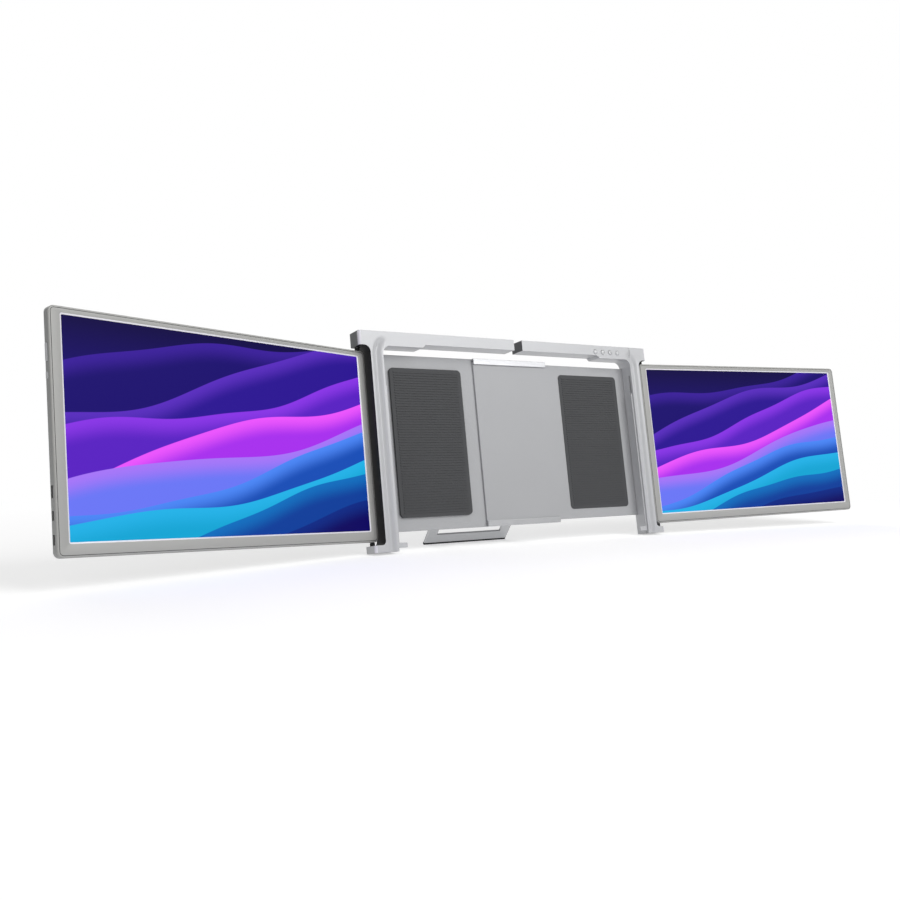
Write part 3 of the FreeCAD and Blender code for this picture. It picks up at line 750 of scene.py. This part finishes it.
class EXTENDER_OT_monitors(bpy.types.Operator):
    """Makes each monitor's border, its inner chamfer with a painted highlight, back cover, panel and side
    keys
    """

    bl_idname = "extender.monitors"
    bl_label = "Monitors"

    def execute(self, context):
        sizes = context.scene.extender_sizes
        for word, side in SIDES:
            body = word + "_monitor"
            self.border(word, side, body, sizes)
            self.cover(word, side, body)
            self.keys(word)
            screen = frame["nodes"][word + "_screen"]
            screen.data.materials.clear()
            screen.data.materials.append(MATERIALS["panel_" + word])
        return {"FINISHED"}

    def border(self, word, side, body, sizes):
        """Flat border with a rolled outer edge and a sloping edge round the lit area that carries a painted
        highlight; the seam groove carries painted shade.
        """
        trim = sizes.trim_width / MM
        seam = sizes.seam_width / MM
        groove = RIM + seam
        outer = (
            (0.0, BORDER_BACK),
            (0.0, FACE + 1.0),
            (-0.25, FACE + 0.5),
            (-0.7, FACE + 0.2),
            (-RIM, FACE + 0.1),
            (-RIM, FACE + SEAM_DEEP),
            (-groove, FACE + SEAM_DEEP),
            (-groove, FACE + 0.1),
            (-groove - 0.15, FACE),
        )
        shape = bmesh.new()
        rings = []
        for grow, y in outer:
            loop = rounded_loop(*grown(OUTLINE, grow), OUTER_ROUND + grow)
            rings.append(ring_verts(shape, loop, y, side))
        inner = ((trim, FACE), (0.1, GLASS_FACE + 0.1), (0.0, GLASS_FACE + 0.25), (0.0, BORDER_BACK))
        for grow, y in inner:
            loop = rounded_loop(*grown(VIEW, grow), VIEW_ROUND + grow)
            rings.append(ring_verts(shape, loop, y, side))
        # Finish 1 is a painted highlight on the chamfer round the lit area, finish 2 painted shade in the
        # seam groove
        finishes = [0, 0, 0, 0, 2, 2, 2, 0, 0, 1, 1, 1, 0]
        bridge(shape, rings, closed=True, finish_of=finishes)
        bmesh.ops.recalc_face_normals(shape, faces=shape.faces)
        shape.transform(IN_MONITOR[word])
        piece = object_from(word + "_border", shape, ("border", "bright", "seam"))
        smooth(piece, 30)
        finish_piece(piece, body, (word + "_bezel",))

    def cover(self, word, side, body):
        """Back cover: the solid's own shell with its openings, rounded towards the back."""
        into = IN_MONITOR[word].inverted()
        shape = cad_shape(word + "_back_cover", into)
        shape.normal_update()
        back_edges = [
            edge
            for edge in shape.edges
            if all(abs(vert.co.y - COVER_BACK) < TOUCH for vert in edge.verts)
            and len(edge.link_faces) == 2
            and edge.calc_face_angle() > 1
            and max(self.inset(vert.co, side) for vert in edge.verts) < 5 * TOUCH
        ]
        bmesh.ops.bevel(
            shape,
            geom=back_edges,
            offset=BACK_ROUND,
            segments=5,
            profile=0.5,
            affect="EDGES",
            clamp_overlap=False,
        )
        # Painted shade: the rim faces round the cover's side get the darker side grey
        for face in shape.faces:
            middle = face.calc_center_median()
            on_rim = middle.y < COVER_BACK - TOUCH and abs(middle.y - BORDER_BACK) > TOUCH
            face.material_index = 1 if on_rim else 0
        shape.transform(IN_MONITOR[word])
        piece = object_from(word + "_rear_shell", shape, ("border", "side"))
        bevel_modifier(piece, FINE_EDGE, 2)
        smooth(piece)
        finish_piece(piece, body, (word + "_back_cover",))

    def inset(self, point, side):
        """How far a point lies inside the monitor's outline, nought on the outline itself."""
        left, right, low, high = OUTLINE
        x, z = side * point.x, point.z
        run = min(x - left, right - x)
        rise = min(z - low, high - z)
        if run < OUTER_ROUND and rise < OUTER_ROUND:
            return OUTER_ROUND - math.hypot(OUTER_ROUND - run, OUTER_ROUND - rise)
        return min(run, rise)

    def keys(self, word):
        """The rocker and the power key on the monitor's outer edge."""
        for part in ("rocker", "power_key"):
            node = word + "_" + part
            piece = object_from(node + "_cap", cad_shape(node, Matrix()), ("silver",))
            bevel_modifier(piece, KEY_EDGE, 3)
            smooth(piece)
            finish_piece(piece, node, (node,))


class EXTENDER_OT_buttons(bpy.types.Operator):
    """Makes the four control buttons: a low dome in a dished collar"""

    bl_idname = "extender.buttons"
    bl_label = "Buttons"

    def execute(self, context):
        into = IN_FRAME.inverted()
        for number in range(1, BUTTON_COUNT + 1):
            node = "button_%d" % number
            low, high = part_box(node)
            across = ((into @ Vector(low) + into @ Vector(high)) / 2).x
            shape = bmesh.new()
            rings = [
                circle_verts(shape, lambda a: radius, y, BUTTON_SIDES, across, BUTTON_Z) for radius, y in DOME
            ]
            bridge(shape, rings)
            shape.faces.new(rings[0])
            shape.faces.new(rings[-1])
            bmesh.ops.recalc_face_normals(shape, faces=shape.faces)
            shape.transform(IN_FRAME)
            if number == MARKED_BUTTON:
                self.mark(shape, across)
            piece = object_from(node + "_dome", shape, ("button", "seam"))
            smooth(piece, 40)
            finish_piece(piece, node, (node,))
        return {"FINISHED"}

    def mark(self, shape, across):
        """A small dark dot in the middle of a button."""
        dot = bmesh.ops.create_cone(
            shape, cap_ends=True, segments=DOT_SIDES, radius1=DOT, radius2=DOT, depth=DOT_DEEP
        )["verts"]
        place = Matrix.Translation((across, DOME[0][1], BUTTON_Z)) @ Matrix.Rotation(math.pi / 2, 4, "X")
        bmesh.ops.transform(shape, matrix=IN_FRAME @ place, verts=dot)
        for face in {face for vert in dot for face in vert.link_faces}:
            face.material_index = 1


def plane_box(node, into_local):
    """Least and greatest corner of a node in millimetres of the given plane."""
    points = [into_local @ vert.co for vert in frame["nodes"][node].data.vertices]
    return [[pick(point[axis] for point in points) for axis in range(3)] for pick in (min, max)]


def repeated(name, places, tool, finish):
    """Sets the tool at every place by Geometry Nodes and keeps the result as a plain mesh."""
    mesh = bpy.data.meshes.new(name)
    mesh.from_pydata(places, [], [])
    piece = bpy.data.objects.new(name, mesh)
    bpy.context.scene.collection.objects.link(piece)
    tree = bpy.data.node_groups.new(name + "_places", "GeometryNodeTree")
    tree.interface.new_socket("Geometry", in_out="INPUT", socket_type="NodeSocketGeometry")
    tree.interface.new_socket("Geometry", in_out="OUTPUT", socket_type="NodeSocketGeometry")
    kinds = ("MeshToPoints", "InstanceOnPoints", "RealizeInstances", "SetMaterial")
    chain = [tree.nodes.new("GeometryNode" + kind) for kind in kinds]
    source = tree.nodes.new("GeometryNodeObjectInfo")
    source.inputs["Object"].default_value = tool
    chain[-1].inputs["Material"].default_value = MATERIALS[finish]
    link = tree.links.new
    link(source.outputs["Geometry"], chain[1].inputs["Instance"])
    line = [tree.nodes.new("NodeGroupInput")] + chain + [tree.nodes.new("NodeGroupOutput")]
    for before, after in zip(line, line[1:]):
        link(before.outputs[0], after.inputs[0])
    piece.modifiers.new("places", "NODES").node_group = tree
    baked(piece)
    bpy.data.objects.remove(tool)
    smooth(piece)
    return piece


def screw_head(radius, height, sides):
    """A screw head with a rounded rim and a hexagon recess, its face towards plus y."""
    shape = bmesh.new()
    rim = height * SCREW_RIM
    outer = ((radius, 0), (radius, height - rim), (radius - rim, height))
    sixth = math.pi / 3

    def hexagon(angle):
        return radius * SCREW_HEXAGON / math.cos((angle + sixth / 2) % sixth - sixth / 2)

    rings = [circle_verts(shape, lambda a: reach, y, sides) for reach, y in outer]
    rings += [circle_verts(shape, hexagon, y, sides) for y in (height, height * (1 - SCREW_RECESS))]
    bridge(shape, rings)
    shape.faces.new(rings[0])
    shape.faces.new(rings[-1])
    bmesh.ops.recalc_face_normals(shape, faces=shape.faces)
    return shape


class EXTENDER_OT_rear(bpy.types.Operator):
    """Finishes the rear plates, rails, stand and clips with broken edges"""

    bl_idname = "extender.rear"
    bl_label = "Rear plates, stand and clips"

    def execute(self, context):
        pieces = (
            ("left_rear_plate", "left_half", "plate", "plate", 0.0005),
            ("right_rear_plate", "right_half", "plate", "plate", 0.0005),
            ("upper_slide_rail", "left_half", "stand", "silver_frame", 0.0003),
            ("lower_slide_rail", "left_half", "stand", "silver_frame", 0.0003),
            ("left_clip", "left_clip", "silver", "silver_frame", 0.0004),
            ("right_clip", "right_clip", "silver", "silver_frame", 0.0004),
            ("stand_leg", "stand", "stand", "silver_frame", 0.0006),
            ("stand_foot", "stand", "rubber", "pad", 0.0006),
            ("stand_brackets", "left_half", "stand", "silver_frame", 0.0005),
        )
        for node, body, finish, slot, width in pieces:
            piece = object_from(node + "_finish", cad_shape(node, Matrix()), (finish,))
            bevel_modifier(piece, width, 2)
            smooth(piece)
            finish_piece(piece, body, (node,))
        for word, side in SIDES:
            self.pad(word)
            self.screws(word, side, context.scene.extender_sizes.screw_sides)
        kept = {
            "stand_pin": "steel",
            "control_board": "board",
            "button_switches": "black",
        }
        for word, _ in SIDES:
            kept.update(
                {
                    word + "_hinge_pins": "steel",
                    word + "_hinge_bushes": "black",
                    word + "_hinge_brackets": "steel",
                    word + "_clip_spring": "steel",
                    word + "_light_guide": "guide",
                    word + "_driver_board": "board",
                    word + "_port_shells": "steel",
                }
            )
        for node, finish in kept.items():
            mesh = frame["nodes"][node].data
            mesh.materials.clear()
            mesh.materials.append(MATERIALS[finish])
        return {"FINISHED"}

    def pad(self, word):
        """A rubber pad with rounded corners, its front left back for the ribs."""
        node = word + "_lid_pad"
        low, high = plane_box(node, IN_FRAME.inverted())
        shape = bmesh.new()
        loop = rounded_loop(low[0], high[0], low[2], high[2], PAD_ROUND)
        rings = [ring_verts(shape, loop, y, 1) for y in (high[1], low[1] + RIB_HEIGHT)]
        bridge(shape, rings)
        for ring in rings:
            shape.faces.new(ring)
        bmesh.ops.recalc_face_normals(shape, faces=shape.faces)
        shape.transform(IN_FRAME)
        base = object_from(node + "_base", shape, ("pad",))
        smooth(base)
        finish_piece(base, word + "_half", (node,))
        self.ribs(word, node, low, high)

    def ribs(self, word, node, low, high):
        """Fine ribs up the front of a pad, between the corners low and high."""
        rib = bmesh.new()
        wide = high[0] - low[0] - 2 * PAD_MARGIN
        size = Matrix.Diagonal((wide, RIB_HEIGHT * 2, RIB_WIDTH, 1))
        bmesh.ops.create_cube(rib, size=1, matrix=size)
        rib.transform(IN_FRAME.to_3x3().to_4x4())
        tool = object_from(node + "_rib", rib, ("pad",))
        middle = (low[0] + high[0]) / 2
        rows = steps(low[2] + PAD_MARGIN, high[2] - PAD_MARGIN, RIB_PITCH)
        places = [IN_FRAME @ Vector((middle, low[1] + RIB_HEIGHT, z)) for z in rows]
        ribs = repeated(node + "_ribs", places, tool, "pad")
        finish_piece(ribs, word + "_half")

    def screws(self, word, side, sides):
        """Four cover screws in each monitor's back."""
        node = word + "_cover_screws"
        low, high = plane_box(node, IN_MONITOR[word].inverted())
        left, right, bottom, top = grown(OUTLINE, -SCREW_INSET)
        points = [(side * x, low[1], z) for x in (left, right) for z in (bottom, top)]
        radius = max(side * low[0], side * high[0]) - right
        head = screw_head(radius, high[1] - low[1], sides)
        head.transform(IN_MONITOR[word].to_3x3().to_4x4())
        tool = object_from(node + "_head", head, ("steel",))
        places = [IN_MONITOR[word] @ Vector(point) for point in points]
        piece = repeated(node + "_set", places, tool, "steel")
        finish_piece(piece, word + "_monitor", (node,))


# The camera as fitted to the corners of the frame and of both lit areas
CAMERA_PLACE = (-0.7348, -0.92197, 0.12390)
CAMERA_RIGHT = (0.83687, -0.54743, -0.00276)
CAMERA_DOWN = (-0.00737, -0.00634, -0.99995)
CAMERA_FORWARD = (0.54734, 0.83687, -0.00937)
LENS_MM = 39.38
SENSOR_MM = 36
CLIP_START = 0.01

# The stage: floor and room brightness, and each lamp's name, place, width and watts
FLOOR_REACH = 6.0
FLOOR_GREY = (0.8, 0.8, 0.8, 1)
FLOOR_GLOW = 0.45
FLOOR_FADE = (0.75, 1.3)
WHITE = (1, 1, 1, 1)
ROOM_GLOW = 0.32
LAMP_AIM = (0, 0, 0.12)
LAMPS = (
    ("key", (0.9, -1.9, 1.7), 2.0, 37),
    ("fill", (-1.6, -1.4, 1.2), 2.0, 6),
    ("rear", (0.0, 2.2, 1.6), 2.4, 17),
)


class EXTENDER_OT_stage(bpy.types.Operator):
    """Makes the pale floor, the soft lights and the camera"""

    bl_idname = "extender.stage"
    bl_label = "Stage"

    def execute(self, context):
        scene = context.scene
        scene.view_settings.view_transform = "Standard"
        self.floor(scene)
        self.world(scene)
        self.lamps(scene)
        self.camera(scene)
        return {"FINISHED"}

    def floor(self, scene):
        mesh = bpy.data.meshes.new("floor")
        corners = ((-1, -1), (1, -1), (1, 1), (-1, 1))
        mesh.from_pydata([(FLOOR_REACH * x, FLOOR_REACH * y, 0) for x, y in corners], [], [(0, 1, 2, 3)])
        floor = bpy.data.objects.new("floor", mesh)
        scene.collection.objects.link(floor)
        material, tree, out = new_material("white studio floor")
        matt = add(tree, "ShaderNodeBsdfDiffuse", {"Color": FLOOR_GREY})
        glow = add(tree, "ShaderNodeEmission", {"Color": WHITE, "Strength": FLOOR_GLOW})
        near = add(tree, "ShaderNodeAddShader", {0: matt.outputs[0], 1: glow.outputs[0]})
        place = add(tree, "ShaderNodeTexCoord").outputs["Object"]
        away = add(tree, "ShaderNodeVectorMath", {0: place}, operation="LENGTH")
        fade = add(
            tree,
            "ShaderNodeMapRange",
            {"Value": away.outputs["Value"], "From Min": FLOOR_FADE[0], "From Max": FLOOR_FADE[1]},
            interpolation_type="SMOOTHSTEP",
        )
        white = add(tree, "ShaderNodeEmission", {"Color": WHITE, "Strength": 1.0})
        both = add(
            tree, "ShaderNodeMixShader", {0: fade.outputs["Result"], 1: near.outputs[0], 2: white.outputs[0]}
        )
        rays = add(tree, "ShaderNodeLightPath").outputs
        seen = rays["Is Camera Ray"]
        for kind in ("Is Glossy Ray", "Is Transmission Ray"):
            seen = add(tree, "ShaderNodeMath", {0: seen, 1: rays[kind]}, operation="MAXIMUM").outputs[0]
        mix = add(tree, "ShaderNodeMixShader", {0: seen, 1: matt.outputs[0], 2: both.outputs[0]})
        add_surface(tree, mix, out)
        mesh.materials.append(material)

    def world(self, scene):
        world = bpy.data.worlds.new("studio")
        scene.world = world
        world.use_nodes = True
        tree = world.node_tree
        tree.nodes.clear()
        rays = add(tree, "ShaderNodeLightPath").outputs
        room = add(tree, "ShaderNodeBackground", {"Color": WHITE, "Strength": ROOM_GLOW})
        white = add(tree, "ShaderNodeBackground", {"Color": WHITE, "Strength": 1.0})
        mix = add(
            tree, "ShaderNodeMixShader", {0: rays["Is Camera Ray"], 1: room.outputs[0], 2: white.outputs[0]}
        )
        out = add(tree, "ShaderNodeOutputWorld")
        tree.links.new(mix.outputs[0], out.inputs["Surface"])

    def lamps(self, scene):
        for name, place, width, watts in LAMPS:
            data = bpy.data.lights.new(name, "AREA")
            data.size = width
            data.energy = watts
            lamp = bpy.data.objects.new(name, data)
            lamp.location = place
            aim = Vector(LAMP_AIM) - Vector(place)
            lamp.rotation_euler = aim.to_track_quat("-Z", "Y").to_euler()
            scene.collection.objects.link(lamp)

    def camera(self, scene):
        data = bpy.data.cameras.new("camera")
        data.lens = LENS_MM
        data.sensor_width = SENSOR_MM
        data.clip_start = CLIP_START
        camera = bpy.data.objects.new("camera", data)
        right, up = Vector(CAMERA_RIGHT), -Vector(CAMERA_DOWN)
        back = -Vector(CAMERA_FORWARD)
        turn = Matrix((right, up, back)).transposed()
        camera.matrix_world = Matrix.Translation(CAMERA_PLACE) @ turn.to_4x4()
        scene.collection.objects.link(camera)
        scene.camera = camera


OPERATORS = (
    EXTENDER_OT_frame,
    EXTENDER_OT_caps,
    EXTENDER_OT_monitors,
    EXTENDER_OT_buttons,
    EXTENDER_OT_rear,
    EXTENDER_OT_stage,
)


class EXTENDER_PT_panel(bpy.types.Panel):
    """Lists the sizes, the colours and the operators"""

    bl_idname = "EXTENDER_PT_panel"
    bl_label = "Screen extender"
    bl_space_type = "VIEW_3D"
    bl_region_type = "UI"
    bl_category = "Extender"

    def draw(self, context):
        for group in (context.scene.extender_sizes, context.scene.extender_colours):
            box = self.layout.box()
            for name in group.bl_rna.properties.keys():
                if name not in ("rna_type", "name"):
                    box.prop(group, name)
        for operator in OPERATORS:
            self.layout.operator(operator.bl_idname)


CLASSES = (ExtenderSizes, ExtenderColours, *OPERATORS, EXTENDER_PT_panel)


def register():
    for each in CLASSES:
        bpy.utils.register_class(each)
    bpy.types.Scene.extender_sizes = PointerProperty(type=ExtenderSizes)
    bpy.types.Scene.extender_colours = PointerProperty(type=ExtenderColours)


def unregister():
    del bpy.types.Scene.extender_colours
    del bpy.types.Scene.extender_sizes
    for each in reversed(CLASSES):
        bpy.utils.unregister_class(each)


def main():
    register()
    make_materials(bpy.context.scene.extender_colours)
    for operator in OPERATORS:
        group, name = operator.bl_idname.split(".")
        getattr(getattr(bpy.ops, group), name)()


if __name__ == "__main__":
    main()
